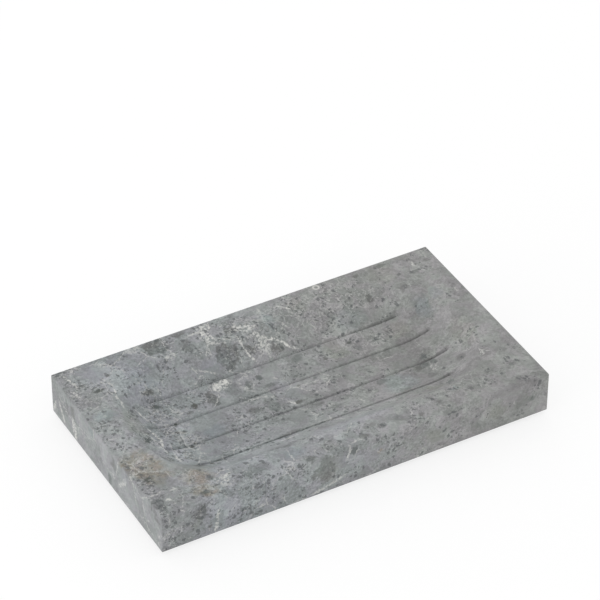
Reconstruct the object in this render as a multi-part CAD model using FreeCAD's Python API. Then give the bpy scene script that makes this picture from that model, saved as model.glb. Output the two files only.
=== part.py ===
import FreeCAD, Part
import math
import os

from FreeCAD import Vector

# Soap dish: a slab of honed marble with a coved hollow, four drain grooves and four stick-on feet.
# Millimetres. +X runs along the length, +Y to the back and +Z up.
# The origin is under the middle of the dish, on the surface that its feet stand on.

# Stone tray
TRAY_LENGTH = 145.0
TRAY_WIDTH = 80.0
TRAY_HEIGHT = 15.5
EDGE_ROUND = 0.4            # eased arris on every outer edge

# Hollow: a flat floor with rounded corners, and one cove that rises from it all round
RIM_WIDTH = 11.0            # outer face of the tray to the corner of cove and top, before its rounding
HOLLOW_DEPTH = 8.1
COVE_RUN = 19.8             # plan width of the cove
FLOOR_CORNER_RADIUS = 3.0
LIP_RADIUS = 5.0            # soft edge where the cove meets the top

# Drain grooves: cut with a V cutter along the length, deeper where they run up the ends of the hollow
GROOVE_PITCH = 12.0
GROOVE_ANGLE = 70.0         # degrees between the two walls
GROOVE_TIP = 0.2            # flat bottom that the cutter's blunt tip leaves
GROOVE_DEPTH = 0.6          # under the surface of the hollow, along the middle
GROOVE_END_DEPTH = 1.3      # the same, where a groove stops
GROOVE_END_INSET = 8.0      # plan distance from a groove's end to the corner of cove and top

# Feet: soft pads, each on a disc of double-sided adhesive
PAD_DIAMETER = 10.0
PAD_THICKNESS = 1.3
PAD_FOOT_ROUND = 0.4        # rounded lower edge of a pad
PAD_DRAFT = 0.15            # how much smaller a pad's radius is at its foot than at its top
PAD_INSET = 14.0            # outer face of the tray to a pad's axis
ADHESIVE_THICKNESS = 0.2
ADHESIVE_MARGIN = 0.4       # rim of a pad that its adhesive leaves bare

TOUCH = 1e-4                # two levels this close are the same level when an edge is picked

# Levels
UNDERSIDE = PAD_THICKNESS + ADHESIVE_THICKNESS
TOP = UNDERSIDE + TRAY_HEIGHT
FLOOR = TOP - HOLLOW_DEPTH

# Plan of the hollow, as half sizes
FLOOR_X = TRAY_LENGTH / 2 - RIM_WIDTH - COVE_RUN
FLOOR_Y = TRAY_WIDTH / 2 - RIM_WIDTH - COVE_RUN
FLOOR_CORNER = min(FLOOR_CORNER_RADIUS, FLOOR_Y / 2)
CORNER_X = FLOOR_X - FLOOR_CORNER
CORNER_Y = FLOOR_Y - FLOOR_CORNER
COVE_RADIUS = (COVE_RUN**2 + HOLLOW_DEPTH**2) / (2 * HOLLOW_DEPTH)


def cove_rise(outward):
    """Height of the cove over the floor, at a plan distance outward from the floor's edge."""
    return COVE_RADIUS - math.sqrt(COVE_RADIUS**2 - outward**2)


def hollow_level(x, y):
    """Level of the hollow's surface at a plan point."""
    from_corner = math.hypot(max(abs(x) - CORNER_X, 0), max(abs(y) - CORNER_Y, 0))
    return FLOOR + cove_rise(max(from_corner - FLOOR_CORNER, 0))


def slab():
    """The sawn block, with its arrises eased."""
    block = Part.makeBox(
        TRAY_LENGTH, TRAY_WIDTH, TRAY_HEIGHT, Vector(-TRAY_LENGTH / 2, -TRAY_WIDTH / 2, UNDERSIDE)
    )
    return block.makeFillet(EDGE_ROUND, block.Edges)


def hollow_section():
    """Section of the hollow in the XZ plane, from a corner's axis outward: floor, cove, and open above."""
    over = TOP + HOLLOW_DEPTH
    axis_foot = Vector(0, 0, FLOOR)
    cove_foot = Vector(FLOOR_CORNER, 0, FLOOR)
    cove_middle = Vector(FLOOR_CORNER + COVE_RUN / 2, 0, FLOOR + cove_rise(COVE_RUN / 2))
    cove_top = Vector(FLOOR_CORNER + COVE_RUN, 0, TOP)
    outer_end = Vector(cove_top.x, 0, over)
    axis_end = Vector(0, 0, over)
    edges = [
        Part.LineSegment(axis_foot, cove_foot).toShape(),
        Part.Arc(cove_foot, cove_middle, cove_top).toShape(),
        Part.LineSegment(cove_top, outer_end).toShape(),
        Part.LineSegment(outer_end, axis_end).toShape(),
        Part.LineSegment(axis_end, axis_foot).toShape(),
    ]
    return Part.Face(Part.Wire(edges))


def hollow_space():
    """What the hollow takes out of the slab: the section, run along each side and turned at each corner."""
    section = hollow_section()
    up = Vector(0, 0, 1)
    corners = [(CORNER_X, CORNER_Y), (-CORNER_X, CORNER_Y), (-CORNER_X, -CORNER_Y), (CORNER_X, -CORNER_Y)]
    runs = [2 * CORNER_X, 2 * CORNER_Y] * 2
    pieces = []
    for quarter, ((x, y), run) in enumerate(zip(corners, runs)):
        start = section.copy()
        start.rotate(Vector(0, 0, 0), up, 90 * quarter)
        start.translate(Vector(x, y, 0))
        corner = start.revolve(Vector(x, y, 0), up, 90)
        side = start.copy()
        side.rotate(Vector(x, y, 0), up, 90)
        along = FreeCAD.Rotation(up, 90 * quarter).multVec(Vector(-run, 0, 0))
        pieces += [corner, side.extrude(along)]
    middle = Part.makeBox(
        2 * CORNER_X, 2 * CORNER_Y, 2 * HOLLOW_DEPTH, Vector(-CORNER_X, -CORNER_Y, FLOOR)
    )
    return middle.multiFuse(pieces).removeSplitter()


def soften_lip(tray):
    """Rounds the edge between the top of the rim and the cove."""
    lip = []
    for edge in tray.Edges:
        box = edge.BoundBox
        level = abs(box.ZMin - TOP) < TOUCH and abs(box.ZMax - TOP) < TOUCH
        reach_x = TRAY_LENGTH / 2 - max(abs(box.XMin), abs(box.XMax))
        reach_y = TRAY_WIDTH / 2 - max(abs(box.YMin), abs(box.YMax))
        if level and min(reach_x, reach_y) > RIM_WIDTH / 2:
            lip.append(edge)
    return tray.makeFillet(LIP_RADIUS, lip)


def groove_rows():
    """Y of each groove: as many at the pitch as find room between the two long walls."""
    band = 2 * (CORNER_Y + FLOOR_CORNER + COVE_RUN - GROOVE_END_INSET - 2 * GROOVE_END_DEPTH)
    count = 1 + int(band / GROOVE_PITCH)
    return [GROOVE_PITCH * (k - (count - 1) / 2) for k in range(count)]


def cutter_outline(x, y, tip_z, reach_left):
    """Section of the V cutter across a groove: from its axis to the right, and to the left as well if asked."""
    height = 3 * GROOVE_END_DEPTH
    foot = GROOVE_TIP / 2
    head = foot + height * math.tan(math.radians(GROOVE_ANGLE / 2))
    left_foot, left_head = (foot, head) if reach_left else (0, 0)
    corners = [
        Vector(x, y - left_foot, tip_z),
        Vector(x, y + foot, tip_z),
        Vector(x, y + head, tip_z + height),
        Vector(x, y - left_head, tip_z + height),
    ]
    return Part.Face(Part.makePolygon(corners + corners[:1]))


def groove_space(y):
    """What one groove takes out: a straight V, bent up at both ends as the hollow is, and half a cone at each end."""
    aside = max(abs(y) - CORNER_Y, 0)
    reach = FLOOR_CORNER + COVE_RUN - GROOVE_END_INSET
    bend_x = CORNER_X + math.sqrt(max(FLOOR_CORNER**2 - aside**2, 0))
    end_x = CORNER_X + math.sqrt(reach**2 - aside**2)
    tip_z = hollow_level(0, y) - GROOVE_DEPTH
    run = end_x - bend_x
    rise = hollow_level(end_x, y) - GROOVE_END_DEPTH - tip_z
    bend_radius = (run**2 + rise**2) / (2 * rise)
    turn = math.degrees(math.asin(run / bend_radius))
    pieces = []
    for side in (1, -1):
        bend_centre = Vector(side * bend_x, y, tip_z + bend_radius)
        bend_axis = Vector(0, -side, 0)
        start = cutter_outline(side * bend_x, y, tip_z, True)
        half = cutter_outline(side * bend_x, y, tip_z, False)
        half.rotate(bend_centre, bend_axis, turn)
        end_point = Vector(side * end_x, y, tip_z + rise)
        end_axis = (end_point - bend_centre) * side
        pieces += [start.revolve(bend_centre, bend_axis, turn), half.revolve(end_point, end_axis, 180)]
    straight = cutter_outline(-bend_x, y, tip_z, True).extrude(Vector(2 * bend_x, 0, 0))
    return straight.multiFuse(pieces).removeSplitter()


def stone_tray():
    """The finished stone: slab, hollow, soft lip and grooves."""
    tray = soften_lip(slab().cut(hollow_space()))
    for y in groove_rows():
        tray = tray.cut(groove_space(y))
    return tray


def foot_pad(x, y):
    """A moulded pad: flat top and foot, drafted side, rounded lower edge."""
    top_radius = PAD_DIAMETER / 2
    foot_radius = top_radius - PAD_DRAFT
    profile = Part.makePolygon(
        [
            Vector(0, 0, 0),
            Vector(foot_radius, 0, 0),
            Vector(top_radius, 0, PAD_THICKNESS),
            Vector(0, 0, PAD_THICKNESS),
            Vector(0, 0, 0),
        ]
    )
    pad = Part.Face(profile).revolve(Vector(0, 0, 0), Vector(0, 0, 1), 360)
    lower_edge = [edge for edge in pad.Edges if edge.BoundBox.ZMax < TOUCH and edge.Length > foot_radius]
    pad = pad.makeFillet(PAD_FOOT_ROUND, lower_edge)
    pad.translate(Vector(x, y, 0))
    return pad


def adhesive_disc(x, y):
    """The film that bonds a pad to the underside of the stone."""
    radius = PAD_DIAMETER / 2 - ADHESIVE_MARGIN
    return Part.makeCylinder(radius, ADHESIVE_THICKNESS, Vector(x, y, PAD_THICKNESS))


def parts():
    """Every piece by its name."""
    pieces = {"stone_tray": stone_tray()}
    pad_x = TRAY_LENGTH / 2 - PAD_INSET
    pad_y = TRAY_WIDTH / 2 - PAD_INSET
    for depth, y in (("front", -pad_y), ("rear", pad_y)):
        for side, x in (("left", -pad_x), ("right", pad_x)):
            pieces[f"foot_pad_{depth}_{side}"] = foot_pad(x, y)
            pieces[f"adhesive_disc_{depth}_{side}"] = adhesive_disc(x, y)
    return pieces


os.makedirs("parts", exist_ok=True)
for name, shape in parts().items():
    solid = shape.Solids[0]
    solid.exportStep(f"parts/{name}.step")
    print(f"{name}: {len(shape.Solids)} solid, valid {shape.isValid()}, {solid.Volume:.1f} mm3")
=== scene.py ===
# %% [markdown]
# # A soap dish cut from grey marble
# One slab of honed stone with a soft hollow and four drain grooves, on four stick-on feet. The CAD model
# is loaded as a fixed frame first. Everything made here has to sit where the frame says it sits.

# %% Load the frame
import math

import bpy
from mathutils import Matrix, Vector


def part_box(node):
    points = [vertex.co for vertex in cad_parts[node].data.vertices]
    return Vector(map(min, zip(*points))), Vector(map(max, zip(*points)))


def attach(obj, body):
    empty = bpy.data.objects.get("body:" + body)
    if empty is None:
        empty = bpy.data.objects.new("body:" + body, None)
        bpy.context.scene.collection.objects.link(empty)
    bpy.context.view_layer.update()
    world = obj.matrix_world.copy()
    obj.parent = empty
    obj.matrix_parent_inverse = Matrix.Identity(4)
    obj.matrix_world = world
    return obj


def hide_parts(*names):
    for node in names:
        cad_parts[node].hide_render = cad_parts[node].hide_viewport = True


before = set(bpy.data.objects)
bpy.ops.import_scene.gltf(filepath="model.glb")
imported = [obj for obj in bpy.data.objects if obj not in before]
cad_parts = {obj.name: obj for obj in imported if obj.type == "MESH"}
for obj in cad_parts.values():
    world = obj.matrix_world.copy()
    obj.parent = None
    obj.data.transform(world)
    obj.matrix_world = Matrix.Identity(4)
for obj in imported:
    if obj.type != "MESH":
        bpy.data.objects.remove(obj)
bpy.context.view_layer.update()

# %% [markdown]
# ## Where the camera stood
# The photograph is taken from well back with a long lens, so the sides of the dish stay almost parallel.
# A short lens close by would fill the frame as well, but it would spread the near corner. The camera is
# set before any modelling.

# %% Camera
MM = 0.001
ROUND_TO_THE_LEFT = math.radians(-29.26)
HEIGHT_ANGLE = math.radians(38.355)
TILT = math.radians(0.154)
DISTANCE = 1073.967 * MM
RAISED = 36.852 * MM
ASIDE = -0.029 * MM
FEET_HEIGHT = 1.5 * MM
FOCAL_LENGTH = 192.35

toward_camera = Vector(
    (
        math.sin(ROUND_TO_THE_LEFT) * math.cos(HEIGHT_ANGLE),
        -math.cos(ROUND_TO_THE_LEFT) * math.cos(HEIGHT_ANGLE),
        math.sin(HEIGHT_ANGLE),
    )
)
level_right = Vector((math.cos(ROUND_TO_THE_LEFT), math.sin(ROUND_TO_THE_LEFT), 0))
level_up = toward_camera.cross(level_right)
camera_right = level_right * math.cos(TILT) + level_up * math.sin(TILT)
camera_up = level_up * math.cos(TILT) - level_right * math.sin(TILT)
underside_middle = Vector((0, 0, FEET_HEIGHT))
camera_place = camera_right * ASIDE + camera_up * RAISED + toward_camera * DISTANCE + underside_middle

lens = bpy.data.cameras.new("camera")
lens.sensor_width = 36
lens.lens = FOCAL_LENGTH
camera = bpy.data.objects.new("camera", lens)
bpy.context.scene.collection.objects.link(camera)
camera.matrix_world = Matrix(
    (
        (camera_right.x, camera_up.x, toward_camera.x, camera_place.x),
        (camera_right.y, camera_up.y, toward_camera.y, camera_place.y),
        (camera_right.z, camera_up.z, toward_camera.z, camera_place.z),
        (0, 0, 0, 1),
    )
)
bpy.context.scene.camera = camera
print("camera stands at", [round(v, 3) for v in camera_place])

# %% [markdown]
# ## Sizes of the stone
# The slab's outer size is read from the frame, so the two can't drift apart. The shape of the hollow is
# one section that runs all the way round: a flat floor, a cove that rises from it, and a soft lip where
# the cove meets the rim. With that section written once, the sides and the corners of the hollow come out
# as one surface.

# %% Sizes
stone_low, stone_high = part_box("stone_tray")
UNDERSIDE, TOP = stone_low.z, stone_high.z
HALF_LENGTH, HALF_WIDTH = stone_high.x, stone_high.y
EDGE_ROUND = 0.4 * MM

RIM_WIDTH = 11 * MM
HOLLOW_DEPTH = 8.1 * MM
COVE_RUN = 19.8 * MM
FLOOR_CORNER = 3 * MM
LIP_RADIUS = 5 * MM

CORNER_X = HALF_LENGTH - RIM_WIDTH - COVE_RUN - FLOOR_CORNER
CORNER_Y = HALF_WIDTH - RIM_WIDTH - COVE_RUN - FLOOR_CORNER
COVE_RADIUS = (COVE_RUN**2 + HOLLOW_DEPTH**2) / (2 * HOLLOW_DEPTH)
LIP_CENTRE = math.sqrt((COVE_RADIUS + LIP_RADIUS) ** 2 - (COVE_RADIUS - HOLLOW_DEPTH + LIP_RADIUS) ** 2)
COVE_END = LIP_CENTRE * COVE_RADIUS / (COVE_RADIUS + LIP_RADIUS)


def hollow_depth(x, y):
    """How far the hollow lies under the rim at a plan point."""
    from_corner = math.hypot(max(abs(x) - CORNER_X, 0), max(abs(y) - CORNER_Y, 0))
    outward = max(from_corner - FLOOR_CORNER, 0)
    if outward <= COVE_END:
        return HOLLOW_DEPTH - COVE_RADIUS + math.sqrt(COVE_RADIUS**2 - outward**2)
    if outward < LIP_CENTRE:
        return LIP_RADIUS - math.sqrt(LIP_RADIUS**2 - (outward - LIP_CENTRE) ** 2)
    return 0.0


print(f"cove radius {COVE_RADIUS / MM:.2f} mm; the lip starts {COVE_END / MM:.2f} mm out from the floor")

# %% [markdown]
# ## The grooves
# The drain grooves are cut with a V cutter that follows the floor, bends up at both ends as the cove
# does, and goes deeper there. Four thin wedges could be cut away with Boolean, but its result is a mesh
# that shades badly. A formula gives each point its depth instead: a wall climbs as the cutter's angle
# says, in the bend it climbs toward the bend's centre, and past the end of a groove the cutter's own
# shape is left, which is half a cone.

# %% Path of a groove
GROOVE_ROWS = (6 * MM, 18 * MM)
GROOVE_SPREAD = math.tan(math.radians(70) / 2)
GROOVE_HALF_TIP = 0.1 * MM
GROOVE_DEPTH = 0.6 * MM
GROOVE_END_DEPTH = 1.3 * MM
GROOVE_END_INSET = 8 * MM


def groove_path(row):
    """Where a groove bends up, where it stops, its depth along the middle, and the radius of its bend."""
    aside = max(row - CORNER_Y, 0)
    bend = CORNER_X + math.sqrt(max(FLOOR_CORNER**2 - aside**2, 0))
    stop = CORNER_X + math.sqrt((FLOOR_CORNER + COVE_RUN - GROOVE_END_INSET) ** 2 - aside**2)
    middle = hollow_depth(0, row) + GROOVE_DEPTH
    rise = middle - hollow_depth(stop, row) - GROOVE_END_DEPTH
    return bend, stop, middle, ((stop - bend) ** 2 + rise**2) / (2 * rise)


for row in GROOVE_ROWS:
    bend, stop = groove_path(row)[:2]
    print(f"groove {row / MM:.0f} mm aside: bends up from {bend / MM:.2f}, stops at {stop / MM:.2f} mm")

# %% Walls of a groove
GROOVE_LIP = 0.12 * MM


def groove_depth(x, y, row):
    """How far a groove's walls lie under the rim at a plan point, where they reach it."""
    bend, stop, middle, radius = groove_path(row)
    aside = abs(y) - row
    climb = max(abs(aside) - GROOVE_HALF_TIP, 0) / GROOVE_SPREAD
    along = max(abs(x) - bend, 0)
    lean = (stop - bend) / radius
    if along <= (radius - climb) * lean:
        return middle - radius + math.sqrt((radius - climb) ** 2 - along**2)
    upright = math.sqrt(1 - lean**2)
    past = abs(x) - stop
    slant = 1 + GROOVE_SPREAD**2
    foot = GROOVE_HALF_TIP * GROOVE_SPREAD
    square = slant * upright**2 - 1
    linear = 2 * upright * (foot - slant * past * lean)
    constant = GROOVE_HALF_TIP**2 - 2 * foot * past * lean - past**2 * (1 - slant * lean**2) - aside**2
    rise = (math.sqrt(linear**2 - 4 * square * constant) - linear) / (2 * square)
    return middle - radius + radius * upright - max(rise, past * lean / upright)


def carved_depth(x, y):
    """Depth of the finished surface under the rim: hollow and grooves, with lips a little rounded."""
    depth = hollow_depth(x, y)
    for row in GROOVE_ROWS:
        groove = groove_depth(x, y, row)
        overlap = max(GROOVE_LIP - abs(depth - groove), 0)
        depth = max(depth, groove) + overlap**2 / (4 * GROOVE_LIP)
    return depth


DEEPEST = HOLLOW_DEPTH + GROOVE_DEPTH
print(f"a groove in the floor lies {carved_depth(0, GROOVE_ROWS[0]) / MM:.2f} mm under the rim")

# %% [markdown]
# ## Scoring the top
# The top of the stone is a flat sheet at first. A mill leaves smooth curves, so the sheet needs cuts
# where its section bends: close together across a groove and at its round ends, wider apart on the open
# floor and the rim. Subdividing evenly would work too, but it would spend most of its points where
# nothing bends. The stone is the same on both sides of its length and of its width, so only one quarter
# is cut and the mirror makes the rest.

# %% Where a groove needs cuts
FINE_STEP = 0.09 * MM
SEARCH_STEP = 0.05 * MM
PAST_LIP = 0.15 * MM
BEFORE_END = 0.5 * MM


def spaced(start, stop, step):
    """Places from start to stop, about a step apart."""
    count = max(1, round((stop - start) / step))
    return [start + (stop - start) * k / count for k in range(count + 1)]


def lip_reach(row, side, depth):
    """How far from a groove's middle its wall meets the hollow, which slopes where the cove has begun."""
    slope = (hollow_depth(0, row - MM) - hollow_depth(0, row + MM)) / (2 * MM)
    return (depth * GROOVE_SPREAD + GROOVE_HALF_TIP) / (1 - side * slope * GROOVE_SPREAD)


def end_reach(row):
    """Where the half cone at the end of a groove meets the hollow."""
    place = groove_path(row)[1]
    while groove_depth(place, row, row) > hollow_depth(place, row):
        place += SEARCH_STEP
    return place


def groove_cuts(row):
    """Cuts across a groove: along its tip, up its walls, and close together where its lips run."""
    places = [row]
    for side in (-1, 1):
        near = lip_reach(row, side, GROOVE_DEPTH) - GROOVE_LIP
        far = lip_reach(row, side, GROOVE_END_DEPTH) + PAST_LIP
        walls = [GROOVE_HALF_TIP, (GROOVE_HALF_TIP + near) / 2]
        places += [row + side * off for off in walls + spaced(near, far, FINE_STEP)]
    return sorted(places)


print(len(groove_cuts(GROOVE_ROWS[0])), "cuts across the first groove")

# %% Cut lines
COVE_STEP = 0.8 * MM
FLOOR_STEP_ALONG = 2 * MM
FLOOR_STEP_ACROSS = 1 * MM
RIM_START = 9 * MM
RIM_CUTS = (1 * MM, 4 * MM)


def with_plain(plain, groups, half):
    """Sorted cuts from the middle to the edge: the close groups, and the plain ones clear of them."""
    clear = 0.3 * MM
    kept = [p for p in plain if all(p < group[0] - clear or p > group[-1] + clear for group in groups)]
    places = sorted({round(p, 7) for p in kept + sum(groups, [])})
    return [p for p in places if 0 < p < half]


def plain_cuts(corner, half, floor_step):
    """Cuts where no groove runs: over the floor, up the cove, and two on the rim."""
    floor_and_cove = spaced(0, corner, floor_step) + spaced(corner, half - RIM_START, COVE_STEP)
    return floor_and_cove + [half - inset for inset in RIM_CUTS]


ends = [
    spaced(groove_path(row)[1] - BEFORE_END, end_reach(row) + PAST_LIP, FINE_STEP) for row in GROOVE_ROWS
]
walls = [groove_cuts(row) for row in GROOVE_ROWS]
cuts_along = with_plain(plain_cuts(CORNER_X, HALF_LENGTH, FLOOR_STEP_ALONG), ends, HALF_LENGTH)
cuts_across = with_plain(plain_cuts(CORNER_Y, HALF_WIDTH, FLOOR_STEP_ACROSS), walls, HALF_WIDTH)
print(len(cuts_along), "cuts along the length and", len(cuts_across), "across it, for one quarter")

# %% A quarter of the top, cut


def only(piece):
    """Leaves one object selected and active."""
    bpy.ops.object.select_all(action="DESELECT")
    piece.select_set(True)
    bpy.context.view_layer.objects.active = piece


bpy.ops.object.select_all(action="DESELECT")
bpy.ops.mesh.primitive_plane_add(size=1, location=(HALF_LENGTH / 2, HALF_WIDTH / 2, TOP))
tray = bpy.context.object
tray.name = "stone_tray_carved"
tray.scale = (HALF_LENGTH, HALF_WIDTH, 1)
bpy.ops.object.transform_apply(location=True, rotation=True, scale=True)
bpy.ops.object.mode_set(mode="EDIT")
for x in cuts_along:
    bpy.ops.mesh.select_all(action="SELECT")
    bpy.ops.mesh.bisect(plane_co=(x, 0, TOP), plane_no=(1, 0, 0))
for y in cuts_across:
    bpy.ops.mesh.select_all(action="SELECT")
    bpy.ops.mesh.bisect(plane_co=(0, y, TOP), plane_no=(0, 1, 0))
bpy.ops.object.mode_set(mode="OBJECT")
print("quarter of the top:", len(tray.data.polygons), "faces")

# %% [markdown]
# ## Milling the hollow
# On the real dish a round cutter sinks the hollow and a V cutter then follows its surface for the
# grooves. A sculpt brush could push the sheet down by eye, but a mill is exact. So each point gets the
# share of the full depth that the section gives it, kept in a vertex group, and one Displace modifier
# sinks them all at once.

# %% Sink the hollow and its grooves
depth_share = tray.vertex_groups.new(name="milled depth")
for point in tray.data.vertices:
    depth_share.add([point.index], carved_depth(point.co.x, point.co.y) / DEEPEST, "REPLACE")
only(tray)
mill = tray.modifiers.new("mill", "DISPLACE")
mill.direction = "Z"
mill.mid_level = 0
mill.strength = -DEEPEST
mill.vertex_group = depth_share.name
bpy.ops.object.modifier_apply(modifier="mill")
tray.vertex_groups.clear()
heights = [point.co.z for point in tray.data.vertices]
print(f"lowest point of a groove: {min(heights) / MM:.2f} mm, top of the rim: {max(heights) / MM:.2f} mm")

# %% [markdown]
# ## Sides and base of the slab
# The sides are sawn faces, so the two outer borders of the quarter are simply pulled down. A cut close to
# the top and one close to the base keep the sides flat right up to the eased edges. Mirror then gives the
# whole slab, and one face with a narrow inset closes the base.

# %% Pull the sides down
CLOSE = 0.001 * MM
KEEP_FLAT = 1 * MM


def at(value, wanted):
    """True if a length is where it is wanted."""
    return abs(value - wanted) < CLOSE


def select_edges(piece, *tests):
    """In edit mode, selects the edges whose two points both pass one of the tests."""
    bpy.ops.mesh.select_mode(type="EDGE")
    bpy.ops.mesh.select_all(action="DESELECT")
    bpy.ops.object.mode_set(mode="OBJECT")
    points = piece.data.vertices
    count = 0
    for edge in piece.data.edges:
        edge.select = any(all(test(points[k].co) for k in edge.vertices) for test in tests)
        count += edge.select
    bpy.ops.object.mode_set(mode="EDIT")
    return count


only(tray)
bpy.ops.object.mode_set(mode="EDIT")
border_edges = select_edges(tray, lambda p: at(p.x, HALF_LENGTH), lambda p: at(p.y, HALF_WIDTH))
half_side = (TOP - UNDERSIDE) / 2 - KEEP_FLAT
for drop in (KEEP_FLAT, half_side, half_side, KEEP_FLAT):
    bpy.ops.mesh.extrude_region_move(TRANSFORM_OT_translate={"value": (0, 0, -drop)})
bpy.ops.object.mode_set(mode="OBJECT")
print("pulled", border_edges, "edges of the border down to the base")

# %% Mirror, and close the base
mirror = tray.modifiers.new("other three quarters", "MIRROR")
mirror.use_axis = (True, True, False)
mirror.use_mirror_merge = True
mirror.merge_threshold = CLOSE
bpy.ops.object.modifier_apply(modifier="other three quarters")

bpy.ops.object.mode_set(mode="EDIT")
base_edges = select_edges(tray, lambda p: at(p.z, UNDERSIDE))
bpy.ops.mesh.edge_face_add()
bpy.ops.mesh.inset(thickness=KEEP_FLAT)
bpy.ops.mesh.select_all(action="SELECT")
bpy.ops.mesh.remove_doubles(threshold=CLOSE)
bpy.ops.mesh.normals_make_consistent(inside=False)
bpy.ops.object.mode_set(mode="OBJECT")
print("slab:", len(tray.data.polygons), "faces,", base_edges, "edges round the base")

# %% [markdown]
# ## Eased edges
# A sawn edge of marble chips at a touch, so the maker takes every arris off with a few strokes of a pad.
# Only the twelve outer edges are beveled. The lips of the grooves already have their round from the
# section.

# %% Ease the outer edges
SMOOTH_UP_TO = math.radians(40)


def outer_faces(p):
    """How many of the slab's outer faces a point lies on."""
    return at(abs(p.x), HALF_LENGTH) + at(abs(p.y), HALF_WIDTH) + (at(p.z, TOP) or at(p.z, UNDERSIDE))


bpy.ops.object.mode_set(mode="EDIT")
arris_edges = select_edges(tray, lambda p: outer_faces(p) >= 2)
bpy.ops.mesh.bevel(offset=EDGE_ROUND, segments=3, affect="EDGES", clamp_overlap=True)
bpy.ops.object.mode_set(mode="OBJECT")
bpy.ops.object.shade_smooth_by_angle(angle=SMOOTH_UP_TO)
print("eased", arris_edges, "edges; the tray measures", [round(v / MM, 2) for v in tray.dimensions], "mm")

# %% [markdown]
# ## Into the frame
# The finished mesh takes the place of the plain solid from the CAD model and rides on its only body. From
# here on the shape is done, and the rest is finish.

# %% Place the tray in the frame
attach(tray, "root")
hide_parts("stone_tray")
print("stone tray:", len(tray.data.polygons), "faces, in place of the CAD solid")

# %% [markdown]
# ## Node maths in plain sums
# A stone needs many small sums on patterns. Math nodes could be added one by one, but that hides the
# thought. So one small class wraps a socket, and a plain sum on it adds the nodes.

# %% Socket class


class Flow:
    """An output socket of a material. Sums on it add Math nodes."""

    def __init__(self, tree, socket):
        self.tree = tree
        self.socket = socket

    def node(self, kind, settings=None, inputs=None, output=0):
        """Adds a node: its settings first, then values or links for its sockets."""
        made = self.tree.nodes.new(kind)
        for name, value in (settings or {}).items():
            setattr(made, name, value)
        for name, value in (inputs or {}).items():
            if isinstance(value, Flow):
                self.tree.links.new(value.socket, made.inputs[name])
            else:
                made.inputs[name].default_value = value
        return Flow(self.tree, made.outputs[output])

    def math(self, operation, *others):
        """A Math node with this socket as its first value."""
        values = dict(enumerate((self, *others)))
        return self.node("ShaderNodeMath", {"operation": operation}, values)

    def __add__(self, other):
        return self.math("ADD", other)

    def __radd__(self, other):
        return self.math("ADD", other)

    def __sub__(self, other):
        return self.math("SUBTRACT", other)

    def __rsub__(self, other):
        return self.math("MULTIPLY", -1).math("ADD", other)

    def __mul__(self, other):
        return self.math("MULTIPLY", other)

    def __rmul__(self, other):
        return self.math("MULTIPLY", other)


print("a Flow adds Math nodes for + - *")

# %% [markdown]
# ## A fresh material
# Every finish here starts from the same two nodes, a shader and an output, and reads where each point
# lies, in millimetres. So a size in a pattern is a size on the stone. The pattern could be wrapped round
# the slab with a UV map, but then the hollow would stretch it. A solid pattern runs through the slab, and
# the hollow cuts into it.

# %% Empty material, and places in millimetres


def new_material(name):
    """An empty material with a shader and an output; returns it with its shader."""
    material = bpy.data.materials.new(name)
    material.use_nodes = True
    nodes = material.node_tree.nodes
    nodes.clear()
    shader = nodes.new("ShaderNodeBsdfPrincipled")
    output = nodes.new("ShaderNodeOutputMaterial")
    material.node_tree.links.new(shader.outputs[0], output.inputs["Surface"])
    return material, shader


def places(material):
    """Object coordinates in millimetres."""
    place = Flow(material.node_tree, material.node_tree.nodes.new("ShaderNodeTexCoord").outputs["Object"])
    return place.node("ShaderNodeVectorMath", {"operation": "SCALE"}, {0: place, "Scale": 1 / MM})


marble, marble_shader = new_material("honed marble")
millimetres = places(marble)
print("marble starts with", len(marble.node_tree.nodes), "nodes")

# %% [markdown]
# ## Broken stone
# The marble is a breccia: old stone that was crushed and cemented together again, so nothing in it has a
# clean outline. Ragged outlines could be drawn one by one. Here the space that a pattern reads is pushed
# about by noise instead, far for the big fragments and only a little for grains and veins, and plain
# shapes come out ragged.

# %% Pushed spaces


def vector_sum(operation, first, *others):
    """A Vector Math node."""
    return first.node("ShaderNodeVectorMath", {"operation": operation}, dict(enumerate((first, *others))))


def noise(space, size, detail=2.0, roughness=0.5, seed=0, output="Fac"):
    """Cloudy noise with features of about a size, from 0 to 1."""
    moved = vector_sum("ADD", space, (37.1 * seed, 61.7 * seed, 13.3 * seed))
    inputs = {"Vector": moved, "Scale": 1 / size, "Detail": detail, "Roughness": roughness}
    return moved.node("ShaderNodeTexNoise", None, inputs, output)


def shifted(space, size, reach, seed):
    """A space with its points pushed about by noise of a size."""
    push = noise(space, size, 2, seed=seed, output="Color")
    return vector_sum("ADD", space, vector_sum("MULTIPLY_ADD", push, (reach,) * 3, (-reach / 2,) * 3))


broken = shifted(shifted(shifted(millimetres, 6.0, 5.0, 1), 2.0, 3.8, 2), 0.6, 1.0, 3)
crumbled = shifted(shifted(millimetres, 4.0, 1.6, 1), 0.9, 1.6, 2)
print("marble has two pushed spaces after", len(marble.node_tree.nodes), "nodes")

# %% [markdown]
# ## Ground colour
# The ground is a mid grey, bluish in the left half of this slab and neutral at the right. One colour ramp
# along the length would show as a clean gradient, so a wide noise makes the change come and go. From
# fragment to fragment the grey leans a little to lilac or to green.

# %% Ground colour


def fade(value, start, end, low=0.0, high=1.0):
    """Goes smoothly from low to high while a value goes from start to end."""
    ends = {0: value, 1: start, 2: end, 3: low, 4: high}
    return value.node("ShaderNodeMapRange", {"interpolation_type": "SMOOTHSTEP"}, ends)


def blend(share, first, second, mode="MIX"):
    """Mixes two colours."""
    settings = {"data_type": "RGBA", "blend_type": mode}
    return share.node("ShaderNodeMix", settings, {0: share, 6: first, 7: second}, output=2)


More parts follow.
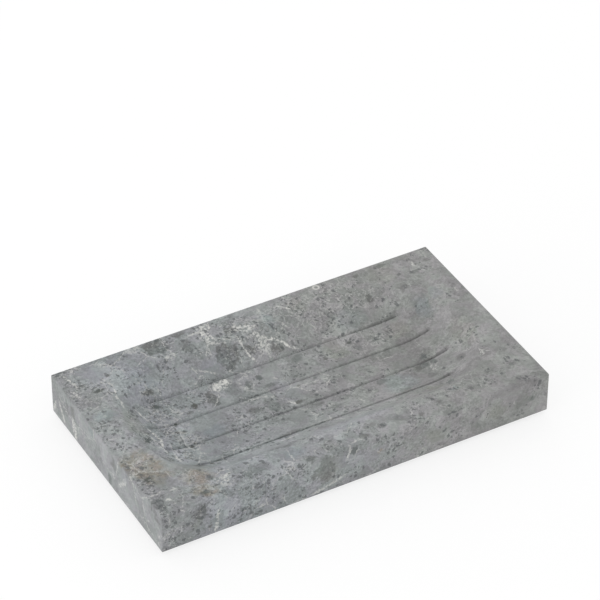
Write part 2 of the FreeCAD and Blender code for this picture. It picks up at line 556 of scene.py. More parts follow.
along_stone = millimetres.node("ShaderNodeSeparateXYZ", None, {0: millimetres}, "X")
drift = 50 * noise(millimetres, 25, 2, seed=4)
warmth = fade(along_stone + drift, -40, 70) + fade(along_stone, -50, -66, 0, 0.5)
ground = blend(warmth, (0.244, 0.261, 0.271, 1), (0.248, 0.250, 0.244, 1))
lean = fade(noise(broken, 5.0, 2, seed=25), 0.38, 0.62)
leaning = blend(lean, (1.015, 0.986, 1.018, 1), (0.982, 1.012, 0.988, 1))
ground = vector_sum("MULTIPLY", ground, leaning)
print("ground colour:", len(marble.node_tree.nodes), "nodes")

# %% [markdown]
# ## Marks that this slab is known by
# Some fragments and veins are large enough that anyone would know this slab by them. Each is a lens in
# the stone, a rounded body with its own half sizes and turn, and the pushed space gives it a ragged edge.
# A vein is a chain of long thin lenses, which swell and pinch as a healed crack does. Painting them on
# would fix them to one face only.

# %% Lens-shaped marks
MARK_FACES = {
    "top": (lambda x, y: (x, y, (TOP - hollow_depth(x * MM, y * MM)) / MM), (1, 0, 0), (0, 0, 1)),
    "front": (lambda x, z: (x, -HALF_WIDTH / MM, UNDERSIDE / MM + z), (1, 0, 0), (0, -1, 0)),
    "left": (lambda y, z: (-HALF_LENGTH / MM, y, UNDERSIDE / MM + z), (0, -1, 0), (-1, 0, 0)),
}


def turned(along, normal):
    """Rotation of a mark whose length runs along one direction, and whose face looks along another."""
    along = Vector(along).normalized()
    across = Vector(normal).cross(along).normalized()
    return Matrix((along, across, along.cross(across))).transposed().to_euler()


def patch(first, second, half_length, half_width, strength, turn=0, face="top"):
    """A rounded mark on one face of the slab, as middle, rotation, half sizes and strength."""
    place, level, normal = MARK_FACES[face]
    along = Matrix.Rotation(math.radians(turn), 3, Vector(normal)) @ Vector(level)
    depth = max(1.0, (half_length + half_width) / 2)
    return Vector(place(first, second)), turned(along, normal), (half_length, half_width, depth), strength


def vein(points, half_width, strength, face="top"):
    """A chain of thin marks along a crooked line on one face of the slab."""
    place, level, normal = MARK_FACES[face]
    chain = []
    for start, stop in zip(points, points[1:]):
        a, b = Vector(place(*start)), Vector(place(*stop))
        half = ((b - a).length / 2 + 0.5, half_width, 2.5)
        chain.append(((a + b) / 2, turned(b - a, normal), half, strength))
    return chain


print("marks can lie on the", ", ".join(MARK_FACES), "of the slab")

# %% [markdown]
# ## Laying the marks
# A mark covers a point as far as its lens reaches, with a soft edge. Hundreds of marks side by side would
# ask too much of the renderer's short memory for one material. So they are laid in groups, and each group
# waits for the one before.

# %% Cover
GROUP = 20


def settle(space, laid):
    """The same space, a hair lower where marks lie, so that what reads it waits until they are laid."""
    return vector_sum("MULTIPLY_ADD", laid, (0, 0, -0.01), space)


def cover(space, marks, edge=0.3):
    """How much of each point the marks cover: the strongest of them counts."""
    total = None
    for count, (middle, rotation, half, strength) in enumerate(marks):
        if count and count % GROUP == 0:
            space = settle(space, total)
        lens_inputs = {"Vector": space, "Location": middle, "Rotation": rotation, "Scale": half}
        local = space.node("ShaderNodeMapping", {"vector_type": "TEXTURE"}, lens_inputs)
        reach = local.node("ShaderNodeVectorMath", {"operation": "LENGTH"}, {0: local}, "Value")
        soft = min(0.45, edge / min(half))
        one = fade(reach, 1 + soft, 1 - soft, 0, strength)
        total = one if total is None else total.math("MAXIMUM", one)
    return total


print("marks are laid in groups of", GROUP)

# %% [markdown]
# ## Tinted fragments
# Many fragments differ from the ground in hue: greenish blue, bluish and olive ones, and rusty stains
# near one corner. Some are only paler or greyer. They are multiplied onto the ground, because a plain mix
# would hide the grain and look like paint.

# %% Places of the tinted fragments
TEAL = (
    patch(56.5, 14.5, 2.4, 4.2, 0.9), patch(62.3, 16.7, 2.4, 2.4, 0.5), patch(32, -12, 6, 5, 0.7),
    patch(32, 22.5, 5.5, 4, 0.5), patch(4.5, 30, 1.8, 5, 0.7), patch(41, -31, 1.8, 1.4, 0.8),
    patch(-21, -33.5, 3.4, 2.6, 0.7), patch(-34, -3, 4, 2.4, 0.7), patch(-66, 13, 3.5, 3, 0.7),
    patch(10.5, 13, 1.8, 1.6, 0.6, face="left"),
)
BLUE = (
    patch(-62.5, 33, 5, 6.5, 0.8), patch(-45, 23.5, 3.5, 2.2, 0.9), patch(-21, 23, 5, 2.6, 0.9),
    patch(-46, 28, 5, 3, 0.6), patch(-3, 3, 3.5, 6, 0.6), patch(5, -27, 14, 4, 0.9),
    patch(-35, -28, 5, 3, 0.7), patch(-14.5, 12, 3, 3, 0.7, face="left"),
)
OLIVE = (
    patch(45, 12.5, 5, 4, 0.6), patch(-58.5, 7, 4, 7, 0.7, turn=-15), patch(60.5, -5, 3.5, 7, 0.5),
    patch(-53, -22, 8, 5, 0.6), patch(21.5, 13, 3.5, 4.5, 0.6), patch(51, 34, 5, 5, 0.4),
    patch(-9, -36, 3.5, 2.5, 0.5), patch(17, 34, 2.5, 4.5, 0.5), patch(38, -23, 2.2, 4.5, 0.6),
    patch(-60, 7, 2.2, 2, 0.6, face="front"), patch(28, 7, 3, 3, 0.5, face="front"),
    patch(52, 8, 4, 3, 0.5, face="front"), patch(-12, 9, 4, 5, 0.8, face="front"),
)
LIGHT = (
    patch(-55, 30, 9, 7, 1), patch(-52, 22, 7, 6, 1), patch(-67, 0, 5, 9, 0.4), patch(-50, -8, 4, 9, 0.5),
    patch(52, 22, 6, 5, 0.5), patch(-8, -32, 30, 7, 0.7), patch(-10, 8, 16, 5, 0.9, face="front"),
    patch(-45, 8, 14, 5, 0.7, face="front"), patch(59, -9.5, 3, 1.2, 0.7, turn=59),
    patch(61.5, -4, 2.6, 1.2, 0.7, turn=53), patch(30, 8, 26, 7, 0.45, face="front"),
    patch(-2, 0, 20, 11, 0.3), patch(0, -22, 32, 6, 0.3),
)
GREY = (
    patch(47, 2, 6, 11, 0.8), patch(31, 3, 8, 9, 0.3), patch(55, -24, 7, 6, 0.4),
    patch(-50, -21, 8, 5, 1),
)
RUST = (
    patch(-66, -17, 5.5, 8.5, 0.9), patch(-70.5, -12, 2, 3.4, 0.9), patch(-63, -22, 3.2, 1.8, 0.8),
    patch(-53.5, -29, 4.6, 4, 1), patch(-54.5, -36, 4, 3, 1), patch(8, 9, 1, 0.8, 0.8, face="front"),
)
tinted_count = sum(len(marks) for marks in (TEAL, BLUE, OLIVE, LIGHT, GREY, RUST))
print("placed", tinted_count, "tinted fragments")

# %% Lay the tints
laid = broken
for hue, marks in (
    ((0.90, 0.99, 1.0, 1), TEAL),
    ((1.0, 1.005, 1.04, 1), BLUE),
    ((0.94, 0.94, 0.87, 1), OLIVE),
    ((1.13, 1.13, 1.14, 1), LIGHT),
    ((0.88, 0.88, 0.87, 1), GREY),
):
    tinted = cover(laid, marks, 1.5)
    laid = settle(broken, tinted)
    ground = blend(tinted, ground, hue, "MULTIPLY")
rust = cover(laid, RUST, 1.6) * fade(noise(millimetres, 2.2, 3, 0.65, seed=15), 0.34, 0.62, 0.35, 1)
laid = settle(broken, rust)
ground = blend(rust, ground, (0.93, 0.80, 0.66, 1), "MULTIPLY")
print("tinted fragments:", len(marble.node_tree.nodes), "nodes")

# %% [markdown]
# ## Busy and calm places
# Where the stone was crushed finest it is full of specks and hairlines, and the whole fragments between
# are smooth. One noise could decide where, but on this slab both kinds of place can be seen, so they are
# put where they lie. The left end is calm all over, because the saw met whole fragments there.

# %% Busy and calm places
BUSY = (
    patch(27, 30, 19, 9, 1), patch(32, 13, 13, 5, 0.8), patch(45, -31, 12, 6, 0.6),
    patch(0, 29, 15, 9, 0.9), patch(-45, 8, 8, 18, 0.8), patch(-66, 24, 7, 8, 0.7),
    patch(-58, -33, 9, 6, 0.6),
)
CALM = (
    patch(-61, 34.5, 5, 4, 0.8), patch(-47, 33, 4, 3, 0.7), patch(-65, 20, 5, 4, 0.6),
    patch(-62, 12, 5, 3, 0.6), patch(-36, 0.5, 6, 4, 0.8), patch(-30, 3, 4, 2.5, 0.7),
    patch(-54, -20, 7, 5, 0.9), patch(-35, -25, 10, 4, 0.7), patch(-61, -26, 4, 3, 0.7),
    patch(-41, -12, 5, 3.5, 0.8), patch(-21.5, 22.5, 4.5, 3, 1), patch(-3, 14, 4, 4, 0.9),
    patch(1, 38, 5, 2, 0.8), patch(-1, 2, 3, 4, 0.8), patch(-7, -12, 3.5, 3.5, 0.8),
    patch(0, -25, 14, 4, 0.6), patch(17, -35, 4, 4, 0.7), patch(-23, -35, 4, 3, 0.7),
)
left_end = fade(along_stone, -72.0, -72.4, 0, 0.85)
busy = cover(laid, BUSY, 4)
calm = cover(settle(crumbled, busy), CALM, 1.5).math("MAXIMUM", left_end)
laid = settle(broken, calm)
lively = fade(noise(millimetres, 7, 2, seed=16), 0.40, 0.60, 0.5, 1.1).math("MAXIMUM", busy)
print(len(BUSY), "busy places and", len(CALM), "calm ones")

# %% [markdown]
# ## Tone of the fragments
# Every fragment has its own grey, in two sizes of cells. Crystals make a fine grain in some places and
# leave others smooth. At the right end the grey is drawn out into soft streaks. A single noise for all of
# this would look like cloud, because it has no edges.

# %% A tone for each fragment


def cells(space, size, output="Color", feature="F1"):
    """Voronoi cells of about a size: a random colour for each, or the distance from its border."""
    inputs = {"Vector": space, "Scale": 1 / size}
    return space.node("ShaderNodeTexVoronoi", {"feature": feature}, inputs, output)


def cell_tone(size, spread):
    """A tone for each fragment of about a size."""
    colour = cells(broken, size)
    return 1 - spread / 2 + spread * colour.node("ShaderNodeSeparateColor", None, {0: colour}, 0)


LARGE_FRAGMENT, SMALL_FRAGMENT = 10.0, 4.0
fragments = cell_tone(LARGE_FRAGMENT, 0.24) * cell_tone(SMALL_FRAGMENT, 0.20)
print("fragments of", LARGE_FRAGMENT, "and", SMALL_FRAGMENT, "mm")

# %% Cloud, grain and streaks
STREAK_TURN, STREAK_STRETCH = math.radians(-29), 4.0
cloud = 1 + (noise(broken, 8.0, 3, 0.6, seed=5) - 0.5) * 0.35
patchy = 1 + (noise(broken, 2.4, 3, 0.6, seed=24) - 0.5) * (0.48 - 0.2 * calm)
grain_strength = lively * fade(along_stone, -60, 75, 1.6, 1.0) * (1 - 0.6 * calm)
grain = 1 + (noise(millimetres, 0.9, 2, 0.65, seed=6) - 0.5) * grain_strength
streak_inputs = {"Vector": broken, "Rotation": (0, 0, STREAK_TURN), "Scale": (STREAK_STRETCH, 1, 1)}
streak_space = broken.node("ShaderNodeMapping", {"vector_type": "TEXTURE"}, streak_inputs)
streaks = 1 + (noise(streak_space, 2.2, 2, 0.5, seed=17) - 0.5) * fade(along_stone, -10, 50, 0.1, 0.5)
tone = fragments * cloud * patchy * grain * streaks
stone = ground.node("ShaderNodeVectorMath", {"operation": "SCALE"}, {0: ground, "Scale": tone})
print("fragments and grain:", len(marble.node_tree.nodes), "nodes")

# %% [markdown]
# ## Dark fragments
# Pieces of a nearly black stone are scattered in the grey, from grains of one millimetre to lumps of ten.
# The lumps read the far-pushed space and the grains the other, so that a grain stays where it is put.

# %% Places of the dark fragments
DARK = (
    patch(-35.5, 36.3, 4.4, 3.6, 0.6), patch(-25.5, 38.3, 2.8, 1.7, 0.6),
    patch(-25.6, 31.8, 2.2, 3, 0.45), patch(-27, 11.5, 2, 2.9, 0.6, turn=20),
    patch(-34, 10.9, 1, 1.4, 0.9), patch(-37, 9, 1.1, 0.6, 0.6), patch(-43.7, 5.6, 1, 0.8, 1),
    patch(-43, 1.2, 0.9, 0.7, 0.8), patch(-45.3, 1.8, 0.7, 0.6, 0.9), patch(-44, -6.6, 1, 0.8, 1),
    patch(-42.2, -5.5, 0.6, 0.7, 0.8), patch(-43.2, -19.2, 0.9, 0.8, 0.9),
    patch(-40.7, -18.7, 1, 0.8, 0.9), patch(-46.2, 20.9, 1.9, 1, 0.8), patch(-46, 15.3, 1.7, 1, 0.8),
    patch(-58.2, -2.4, 3.2, 1.05, 0.9, turn=42), patch(-56.8, -14, 2.7, 1.6, 0.55),
    patch(-55.5, 2, 0.9, 0.7, 0.9), patch(-68.3, -22.4, 1.6, 1.1, 0.9), patch(-55, -36.6, 1.8, 0.9, 0.6),
    patch(-70.8, -35, 2.2, 3.4, 0.5), patch(-35.5, -35.3, 4.2, 2.4, 0.42),
    patch(-62.3, 24.7, 2.4, 0.7, 0.85), patch(-56.2, 30.5, 1, 0.6, 0.7), patch(-52.3, 34.5, 1, 0.5, 0.6),
    patch(-66, 29.5, 1.1, 0.6, 0.6), patch(-48, -19.3, 2.2, 1.2, 0.6), patch(-50, -31.5, 1.2, 0.8, 0.6),
    patch(-14.3, 24.4, 4.8, 4.2, 0.55), patch(-10, 32.2, 2.7, 1.8, 0.55), patch(-5.7, 24, 1.4, 2.8, 0.6),
    patch(3, 21.8, 2.8, 1.4, 0.5), patch(-12.8, 12, 1.6, 2.8, 0.55), patch(-8.2, 13.6, 1.2, 1.4, 0.7),
    patch(-6.3, 8.5, 1.9, 0.9, 0.5), patch(7.7, 15.6, 2, 1.3, 0.4), patch(-2.6, -3.6, 1.6, 1, 0.75),
    patch(-10.8, -1.5, 2.4, 3.5, 0.45), patch(-17.8, -0.4, 2.4, 1.4, 0.5),
    patch(-14.3, -17.9, 5.8, 1.1, 0.5), patch(-23.7, -26.7, 2.4, 2.6, 0.45),
    patch(-21.3, -28.9, 1.9, 0.8, 0.5), patch(7.5, -12, 2.1, 1.2, 0.25), patch(3, -8, 1.5, 0.8, 0.4),
    patch(1.5, 3.4, 0.9, 0.8, 0.5), patch(8.2, 4.2, 0.8, 0.7, 0.5), patch(2.8, 8.5, 0.9, 0.6, 0.5),
    patch(16.2, 11.6, 0.9, 0.8, 0.65), patch(11, -35.5, 1.6, 1.3, 0.5), patch(3, -37.5, 1.5, 1, 0.5),
    patch(-17.7, -38.7, 1.7, 1.2, 0.65), patch(7, -33.8, 2.5, 1.2, 0.3), patch(16.5, -33.5, 2, 2.4, 0.3),
    patch(42, 26.5, 1.2, 2, 0.6), patch(36.3, 30.3, 0.8, 0.7, 0.5), patch(42.7, 37.2, 1.4, 0.9, 0.45),
    patch(53, 38.1, 2.2, 0.7, 0.5), patch(56, 30.8, 0.9, 0.7, 0.55), patch(62, 29.5, 1.8, 0.8, 0.5),
    patch(54, 24, 1.6, 2.2, 0.4), patch(68.5, 33.3, 1.4, 0.9, 0.35), patch(43.8, -24, 1.8, 3, 0.5),
    patch(27.5, 14.9, 1, 0.8, 0.8), patch(28.5, 11.5, 2.4, 2, 0.3), patch(35.5, 13, 2.2, 1.8, 0.3),
    patch(42.6, -8.2, 2.9, 1.8, 0.55), patch(26.8, -8.2, 1.9, 1.4, 0.5), patch(47, -7.6, 1.2, 1.5, 0.5),
    patch(43, -14, 2, 1.2, 0.35), patch(54.3, -13.7, 1.8, 1.8, 0.35), patch(45, -4, 0.9, 0.8, 0.5),
    patch(45.8, -33.4, 1.3, 0.9, 0.5), patch(64.8, -29.5, 1.3, 0.9, 0.4), patch(24.7, -37, 1.2, 0.8, 0.5),
    patch(33.2, -34, 1, 0.8, 0.5), patch(31.5, -31.5, 0.9, 0.7, 0.45), patch(67.8, -37, 1.2, 0.6, 0.4),
    patch(-58.2, 10.6, 2.7, 3.4, 0.6, face="front"), patch(-12.8, 9.5, 3.8, 4.6, 0.38, face="front"),
    patch(-2.5, 13.4, 1.7, 1.6, 0.6, face="front"), patch(-43, 6, 1.4, 0.9, 0.6, face="front"),
    patch(-55, 4, 0.9, 0.9, 0.6, face="front"), patch(-29.4, 13, 0.9, 0.7, 0.5, face="front"),
    patch(66.3, 7.7, 1.3, 1, 0.5, face="front"), patch(-17.2, 8.4, 0.9, 1.5, 0.5, face="front"),
    patch(23.5, 11.5, 1.8, 2.5, 0.4, face="left"), patch(28.5, 9, 1.5, 4, 0.35, face="left"),
    patch(-3, 3, 1.2, 2.3, 0.55, face="left"), patch(-6.5, 11, 1.8, 3, 0.4, face="left"),
    patch(-37, 13, 1.8, 2.4, 0.4, face="left"),
)
LUMP_AREA = 3.5
lumps = [mark for mark in DARK if mark[2][0] * mark[2][1] > LUMP_AREA]
grains = [mark for mark in DARK if mark[2][0] * mark[2][1] <= LUMP_AREA]
print(len(lumps), "dark lumps and", len(grains), "dark grains")

# %% Lay the dark fragments
lump_cover = cover(laid, lumps, 0.5)
grain_cover = cover(settle(crumbled, lump_cover), grains, 0.4)
mottle = fade(noise(broken, 2.0, 3, 0.65, seed=7), 0.36, 0.56, 0.35, 1.1)
darkened = (lump_cover * mottle).math("MAXIMUM", grain_cover)
dark_hue = fade(noise(millimetres, 9, 1, seed=6), 0.38, 0.62)
dark_stone = blend(dark_hue, (0.047, 0.064, 0.058, 1), (0.062, 0.063, 0.055, 1))
stone = blend(darkened, stone, dark_stone)
print("dark fragments:", len(marble.node_tree.nodes), "nodes")

# %% [markdown]
# ## Specks
# Still smaller specks of dark mineral are strewn through the stone, crowded in some places and missing in
# others, and most of them lie at the bluish end. Thousands of small balls would do it, but in a cell
# pattern the middle of each cell is such a ball, and the cell's own random colour says whether it is
# there and how large. Peaks of a fine noise add splinters between them.

# %% Specks in crowds
SPECK_SPACING = 1.6
crowd = noise(millimetres, 8, 2, 0.6, seed=8) - 0.0011 * along_stone + 0.10 * busy
speck_colour = cells(crumbled, SPECK_SPACING)
speck_chance = speck_colour.node("ShaderNodeSeparateColor", None, {0: speck_colour}, 0)
speck_size = speck_colour.node("ShaderNodeSeparateColor", None, {0: speck_colour}, 1)
speck_shape = fade(cells(crumbled, SPECK_SPACING, "Distance") - 0.22 * speck_size, 0.34, 0.20)
balls = speck_shape * fade(speck_chance + 2.8 * (crowd - 0.5), 0.74, 0.92)
splinters = fade(noise(millimetres, 1.1, 3, 0.6, seed=9) + 0.35 * crowd, 0.815, 0.855)
pepper = balls.math("MAXIMUM", splinters) * (1 - calm)
salt = fade(noise(millimetres, 1.0, 3, 0.6, seed=10) + 0.5 * crowd, 0.90, 0.98) * (1 - calm)
blots = fade(noise(broken, 3.2, 2, seed=18), 0.60, 0.72) * fade(along_stone, -10, 45)
stone = blend(blots * 0.22, stone, (0.10, 0.10, 0.095, 1))
stone = blend(pepper * 0.70, stone, (0.066, 0.074, 0.076, 1))
stone = blend(salt * 0.45, stone, (0.52, 0.52, 0.50, 1))
print("specks:", len(marble.node_tree.nodes), "nodes")

# %% [markdown]
# ## Veins
# White calcite fills the cracks between fragments. The main veins are listed as chains of lenses,
# and a fine noise breaks them into beads, because calcite is a row of crystals and not a painted line.
# Where two cracks meet, it lies as loose sugar. Faint threads follow the borders of the large cells, and
# in busy places of the small ones.

# %% Places of the white veins
PALE = (
    *vein(((-69.2, 37.2), (-67.8, 30)), 0.4, 0.8), *vein(((-70, 28), (-69, 25)), 0.4, 0.7),
    *vein(((-58.5, 30), (-57, 25), (-58.5, 20), (-58, 15)), 0.34, 0.7),
    *vein(((-54, 14), (-52.2, 10)), 0.36, 0.75),
    *vein(((-54, 4.5), (-52.5, -1), (-53.8, -5)), 0.42, 0.9),
    *vein(((-52, -9), (-52.5, -15)), 0.42, 0.8), *vein(((-55.8, 2), (-55, -4), (-54.2, -9)), 0.3, 0.6),
    *vein(((-50.6, -4), (-50.8, -11)), 0.26, 0.45), *vein(((-47, -33.2), (-43.3, -32.2)), 0.6, 0.75),
    *vein(((-47.6, -36.4), (-46.4, -33.8)), 0.4, 0.6), *vein(((-27.5, 23.5), (-20.5, 20.3)), 0.3, 0.5),
    *vein(((-24, 35.8), (-18, 36.6), (-15, 39), (-12.3, 40)), 0.4, 0.75),
    *vein(((-17.8, 36.2), (-17.6, 33), (-19, 30.3), (-21.2, 26)), 0.5, 0.75),
    *vein(((-19.5, 29), (-15, 30), (-10.5, 28.2)), 0.3, 0.6),
    *vein(((-8.8, 28.5), (-8, 24.5), (-6.4, 20)), 0.4, 0.85),
    *vein(((-6.5, 30.3), (-3.5, 28.6), (0.3, 25.8)), 0.5, 0.85),
    *vein(((0.3, 25.8), (5, 23.6), (8.9, 19.8)), 0.45, 1), *vein(((0, 25.3), (-0.6, 20)), 0.35, 0.6),
    *vein(((4.2, 37.4), (3.6, 33)), 0.35, 0.5), *vein(((10.8, 35.5), (13.6, 32.4)), 0.45, 0.8),
    *vein(((7.8, 28.7), (10, 26.5)), 0.4, 0.6), *vein(((13, 30.5), (15, 28)), 0.35, 0.4),
    *vein(((17, 26), (19, 23.5)), 0.35, 0.4), *vein(((-18.5, 4.6), (-13, 4.6), (-8, 2.7)), 0.45, 0.5),
    *vein(((-5.2, -2), (-3.9, -4.6)), 0.4, 0.8), *vein(((-2, -9), (-0.5, -13)), 0.4, 0.5),
    *vein(((16, -12.3), (16, -15)), 0.4, 0.5), *vein(((-19, -20.5), (-12, -20.7)), 0.45, 0.6),
    *vein(((-1.8, -38.3), (1.8, -38.2)), 0.55, 0.6), *vein(((63, 34.9), (63.4, 32.6)), 0.5, 0.6),
    *vein(((69, 15), (69, 13)), 0.5, 0.4),
    *vein(((-52, 10.5), (-52.3, 5), (-53.6, 0.5)), 0.5, 0.7, "front"),
    *vein(((-17.5, 1.2), (-12, 2.1), (-6, 4.4)), 0.6, 0.6, "front"),
    *vein(((-5, 10.8), (-3.7, 15)), 0.5, 0.7, "front"), *vein(((34, 8), (30, 1)), 0.8, 0.7, "left"),
    *vein(((24, 8), (22, 0.5)), 1.4, 0.8, "left"), *vein(((-10, 5), (-15, 10)), 0.7, 0.7, "left"),
    *vein(((37, 6), (39, 1)), 0.7, 0.6, "left"), patch(-23.3, 15.3, 1.7, 1.3, 1),
    patch(-20.2, 16.1, 2, 1.2, 1), patch(-43, 38.3, 2.8, 1.8, 0.4), patch(-67, -34, 1, 0.9, 0.7),
    patch(-63, -30.2, 1.3, 0.8, 0.5), patch(-70.6, -17.9, 0.9, 0.9, 0.5), patch(-33, 29.5, 2, 1.2, 0.5),
    patch(6.2, -10.4, 1, 0.5, 0.5), patch(-6, 6.5, 0.9, 0.9, 0.5, face="left"),
    patch(-38, 5.5, 0.9, 0.9, 0.5, face="left"),
)
SUGAR = (
    patch(-6.8, 32, 1.8, 1.6, 0.8), patch(-3, 30.6, 2.4, 1.8, 0.8), patch(-18, 33, 2, 4.6, 0.9),
    patch(-16.5, 37, 3, 1.5, 0.8), patch(-22, 15.6, 4, 2, 0.6), patch(-1, 24, 2.4, 3, 0.7),
    patch(-47, -34.5, 3, 2.6, 0.5),
)
print(len(PALE), "lenses of calcite and", len(SUGAR), "places with loose crystals")

# %% Lay the veins
beads = fade(noise(millimetres, 0.9, 2, 0.6, seed=12), 0.36, 0.58)
pale_cover = cover(settle(crumbled, grain_cover), PALE)
sugar_cover = cover(settle(crumbled, pale_cover), SUGAR, 1.2)
loose = fade(noise(millimetres, 1.0, 2, 0.6, seed=19), 0.49, 0.57)
calcite = (pale_cover * beads).math("MAXIMUM", sugar_cover * loose)
border = cells(crumbled, LARGE_FRAGMENT, "Distance", "DISTANCE_TO_EDGE")
small_border = cells(broken, SMALL_FRAGMENT, "Distance", "DISTANCE_TO_EDGE")
healed = fade(noise(millimetres, 9, 2, seed=11) - 0.0012 * along_stone, 0.50, 0.64)
threads = fade(border, 0.03, 0.0) * healed * beads * 0.6
net = fade(small_border, 0.07, 0.0) * busy * beads * 0.42
calcite = calcite.math("MAXIMUM", threads).math("MAXIMUM", net)
stone = blend(calcite, stone, (0.60, 0.60, 0.57, 1))
print("veins:", len(marble.node_tree.nodes), "nodes")

# %% [markdown]
# ## Painted shade in the grooves
# The grooves are darkened in the stone's colour as painted shade, most of all toward the right end of the
# back one. It reads the plain space, because it lies where the groove lies and not where the stone broke.

# %% Painted shade in the grooves
# Painted shade: streaks along the grooves, darkest toward the right end of the back one.
GROOVE_SHADE = (
    *vein(((27, 18), (36, 18)), 0.5, 0.25),
    *vein(((36, 18), (42.5, 18), (47.6, 18)), 0.65, 0.55), *vein(((45, 6), (52.5, 6)), 0.5, 0.2),
    *vein(((44, -6), (52.5, -6)), 0.5, 0.3),
)
groove_shade_cover = cover(settle(millimetres, sugar_cover), GROOVE_SHADE)
# Painted shade: the grooves are darkened toward a near-black grey.
stone = blend(groove_shade_cover, stone, (0.08, 0.084, 0.08, 1))
print(len(GROOVE_SHADE), "streaks of dust")

# %% [markdown]
# ## A small ring
# Near the back edge lies one small pale ring, as a shell cut across leaves it. A torus could be sunk in
# the stone, but its section on the flat top is all that shows, so a distance from the ring's line is
# enough.

# %% Ring
RING_PLACE, RING_RADIUS, RING_HALF_WIDTH = (27.5, 38.2, TOP / MM), 1.0, 0.32
off_centre = {0: millimetres, 1: RING_PLACE}
ring = millimetres.node("ShaderNodeVectorMath", {"operation": "DISTANCE"}, off_centre, "Value")
ring = fade((ring - RING_RADIUS).math("ABSOLUTE"), RING_HALF_WIDTH + 0.2, RING_HALF_WIDTH - 0.2, 0, 0.65)
stone = blend(ring, stone, (0.66, 0.65, 0.62, 1))
print("ring of", 2 * RING_RADIUS, "mm")

# %% [markdown]
# ## Honed finish
# Honed stone is rubbed flat but not polished: it has a wide soft sheen, a little smoother on the calcite,
# and duller on the dark grains, which the pad also takes down a little further. A flat roughness would
# make it look like plastic.

# %% Sheen and grain


def feed(flow, shader, socket):
    """Links a pattern to one of the shader's sockets."""
    flow.tree.links.new(flow.socket, shader.inputs[socket])


def dress(piece, material):
    """Gives a piece one material."""
    piece.data.materials.clear()
    piece.data.materials.append(material)


feed(stone, marble_shader, "Base Color")
feed(0.50 + 0.16 * noise(millimetres, 3, 3, 0.6, seed=13) - 0.10 * calcite, marble_shader, "Roughness")
relief = noise(millimetres, 0.5, 2, 0.6, seed=14) - 0.5 * pepper
bump = relief.node("ShaderNodeBump", None, {"Strength": 0.12, "Distance": 0.05 * MM, "Height": relief})
feed(bump, marble_shader, "Normal")
dress(tray, marble)
print("marble:", len(marble.node_tree.nodes), "nodes")

# %% [markdown]
# ## Feet
# The pads are milky silicone, moulded in a tool with a fine matte texture, so they are a little uneven in
# tone and pick up dust. Their CAD solids already have the draft and the rounded foot, so they stay and
# only get a finish.

# %% Silicone
silicone, silicone_shader = new_material("milky silicone")
pad_place = places(silicone)
milk = noise(pad_place, 3.0, 2, seed=20)
dust = fade(noise(pad_place, 0.35, 2, 0.6, seed=21), 0.60, 0.70)
pad_colour = blend(milk, (0.39, 0.40, 0.40, 1), (0.46, 0.47, 0.47, 1))
feed(blend(dust * 0.3, pad_colour, (0.62, 0.61, 0.59, 1)), silicone_shader, "Base Color")
feed(0.52 + 0.16 * milk + 0.2 * dust, silicone_shader, "Roughness")
mould = noise(pad_place, 0.25, 2, 0.6, seed=22)
mould_bump = mould.node("ShaderNodeBump", None, {"Strength": 0.3, "Distance": 0.02 * MM, "Height": mould})
feed(mould_bump, silicone_shader, "Normal")
PLACES_OF_FEET = [f"{depth}_{side}" for depth in ("front", "rear") for side in ("left", "right")]
for where in PLACES_OF_FEET:
    dress(bpy.data.objects[f"foot_pad_{where}"], silicone)
print("silicone on", len(PLACES_OF_FEET), "pads")

# %% [markdown]
# ## Adhesive film
# Each pad is held by a disc of clear film with a milky glue on both sides. Where the stone's pores let
# the glue breathe, it shows small pale bubbles. Cells give those bubbles, because they are round and keep
# apart from each other.

# %% Film
film, film_shader = new_material("adhesive film")
film_place = places(film)
bubbles = fade(cells(film_place, 0.9, "Distance"), 0.30, 0.18)
haze = noise(film_place, 2.0, 2, seed=23)
film_colour = blend(haze, (0.70, 0.70, 0.66, 1), (0.78, 0.78, 0.75, 1))
feed(blend(bubbles * 0.4, film_colour, (0.86, 0.86, 0.84, 1)), film_shader, "Base Color")
feed(0.32 + 0.2 * haze + 0.2 * bubbles, film_shader, "Roughness")
bubble_relief = {"Strength": 0.3, "Distance": 0.02 * MM, "Height": bubbles}
swelling = film_place.node("ShaderNodeBump", None, bubble_relief)
feed(swelling, film_shader, "Normal")
for where in PLACES_OF_FEET:
    dress(bpy.data.objects[f"adhesive_disc_{where}"], film)
print("film under", len(PLACES_OF_FEET), "pads")

# %% [markdown]
# ## White paper
# The dish is photographed on white paper that runs out to white all round. More light would bleach the
# paper and the stone with it. So the paper itself sends most of its white straight to the eye, and the
# rest still takes the shadow.

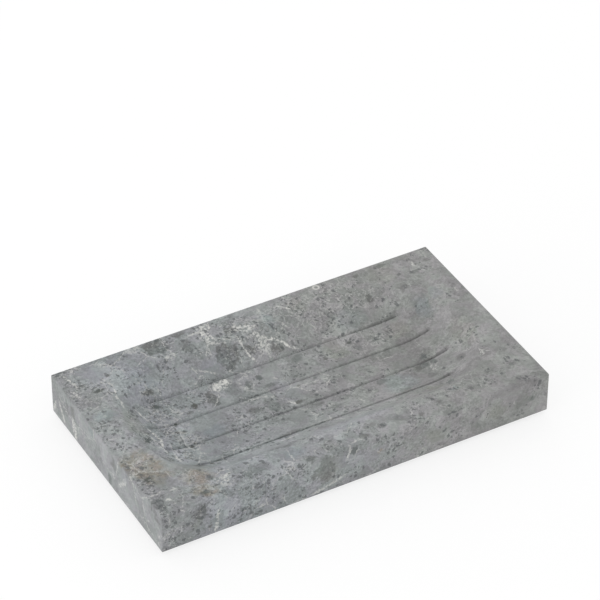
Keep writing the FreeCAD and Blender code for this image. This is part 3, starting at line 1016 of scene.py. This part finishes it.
# %% Floor
PAPER_SIZE = 6
PAPER_OWN_WHITE = 0.75
PAPER_GLOW = 1.02
EYE_RAYS = ("Is Camera Ray", "Is Glossy Ray", "Is Transmission Ray")
bpy.ops.object.select_all(action="DESELECT")
bpy.ops.mesh.primitive_plane_add(size=PAPER_SIZE, location=(0, 0, 0))
floor = bpy.context.object
floor.name = "floor"
paper, paper_shader = new_material("white paper")
paper_shader.inputs["Base Color"].default_value = (0.92, 0.92, 0.92, 1)
paper_shader.inputs["Roughness"].default_value = 0.95
paper_shader.inputs["Specular IOR Level"].default_value = 0.1
paper_surface = Flow(paper.node_tree, paper_shader.outputs[0])
ray = paper.node_tree.nodes.new("ShaderNodeLightPath")
camera_ray, glossy_ray, clear_ray = [Flow(paper.node_tree, ray.outputs[name]) for name in EYE_RAYS]
white = paper_surface.node("ShaderNodeEmission", None, {"Color": (1, 1, 1, 1), "Strength": PAPER_GLOW})
seen = (camera_ray + glossy_ray + clear_ray).math("MINIMUM", 1) * PAPER_OWN_WHITE
mixed = paper_surface.node("ShaderNodeMixShader", None, {0: seen, 1: paper_surface, 2: white})
paper.node_tree.links.new(mixed.socket, paper.node_tree.nodes["Material Output"].inputs["Surface"])
dress(floor, paper)
print("floor of white paper,", round(floor.dimensions.x, 1), "m wide")

# %% [markdown]
# ## Light
# The photograph has almost no shadow, so most of the light is a white room from every side. A low soft
# lamp at the left draws the end walls of the hollow and the walls of the grooves, and a weak one behind
# lifts the front wall, which turns away from the eye. One strong lamp would draw the grooves as well, but
# it would also throw a hard shadow.

# %% World and lamps
ROOM_LIGHT = 0.975
world = bpy.data.worlds.new("white room")
bpy.context.scene.world = world
world.use_nodes = True
world.node_tree.nodes["Background"].inputs["Color"].default_value = (1, 1, 1, 1)
world.node_tree.nodes["Background"].inputs["Strength"].default_value = ROOM_LIGHT


def soft_lamp(name, place, width, height, watts):
    """A rectangular soft lamp that faces the dish."""
    lamp = bpy.data.lights.new(name, "AREA")
    lamp.shape = "RECTANGLE"
    lamp.size, lamp.size_y = width, height
    lamp.energy = watts
    made = bpy.data.objects.new(name, lamp)
    bpy.context.scene.collection.objects.link(made)
    made.location = Vector(place)
    made.rotation_mode = "QUATERNION"
    made.rotation_quaternion = made.location.to_track_quat("Z", "Y")
    return made


lamps = [
    soft_lamp("left_lamp", (-1.0, -0.15, 0.22), 0.9, 0.3, 2.6),
    soft_lamp("back_lamp", (0.15, 1.0, 0.22), 0.9, 0.3, 0.8),
]
print(len(lamps), "soft lamps in a white room")

# %% [markdown]
# ## View
# The Standard view shows a colour as it is written.

# %% View
bpy.context.scene.view_settings.view_transform = "Standard"
